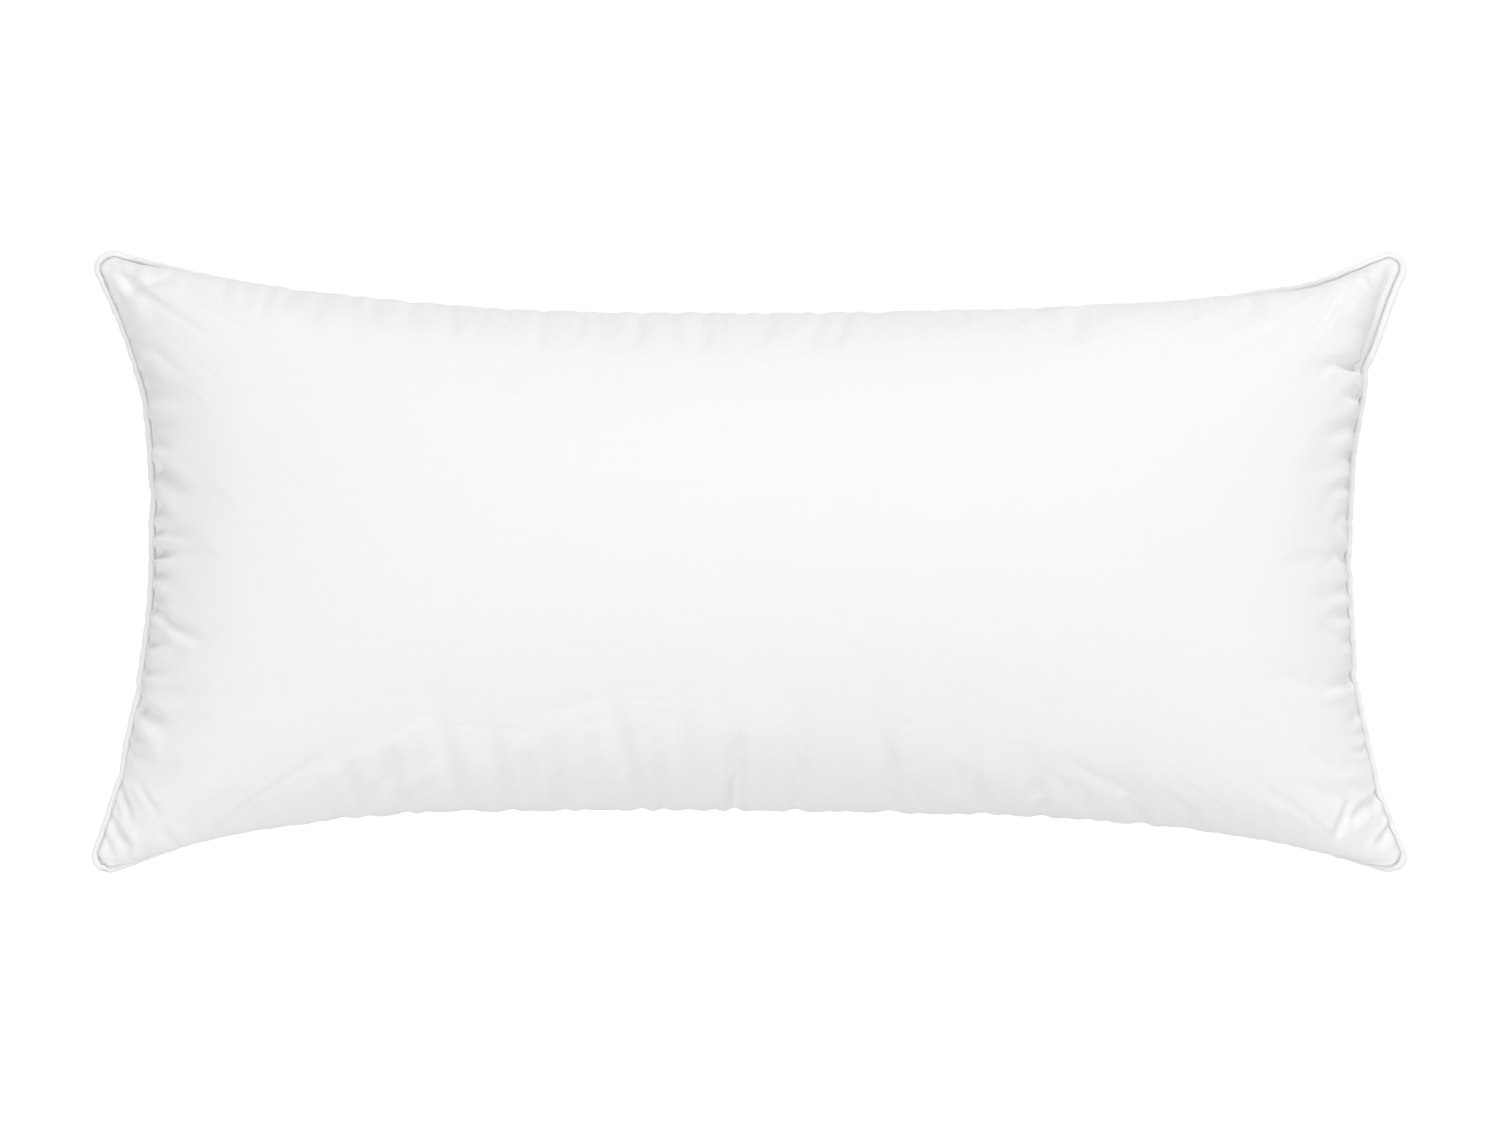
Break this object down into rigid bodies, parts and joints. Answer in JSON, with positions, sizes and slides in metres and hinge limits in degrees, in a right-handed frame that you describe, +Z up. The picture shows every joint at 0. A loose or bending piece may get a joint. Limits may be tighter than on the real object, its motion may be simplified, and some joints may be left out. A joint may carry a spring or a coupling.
{
  "type": "bed pillow",
  "caption": "Oblong bed pillow: two crowned woven panels seamed round a fibre filling, with a corded piping in the edge seam and corners that stand out.",
  "frame": {"origin": "centre of the object's box in X and Y, on the surface it rests on", "axes": "+X along the long side, +Y along the short side, +Z up out of the front panel; the back panel lies on the surface"},
  "size_m": [0.7848, 0.3736, 0.1875],
  "materials": {
    "cover_cloth": "white cotton percale, fine plain weave, matt with a faint sheen",
    "piping_cloth": "white cotton percale cut on the bias, matt",
    "piping_cord": "undyed twisted cotton cord, matt",
    "sewing_thread": "white spun polyester thread, slight sheen",
    "filling_fibre": "white polyester fibre fill, matt",
    "label_tape": "white woven satin tape, blank"
  },
  "bodies": {
    "root": {"front_panel": "cover_cloth", "back_panel": "cover_cloth", "piping_cover": "piping_cloth", "piping_cord": "piping_cord", "piping_thread": "sewing_thread", "seam_thread_front": "sewing_thread", "seam_thread_back": "sewing_thread", "closing_thread": "sewing_thread", "filling": "filling_fibre", "care_label": "label_tape"}
  },
  "joints": []
}
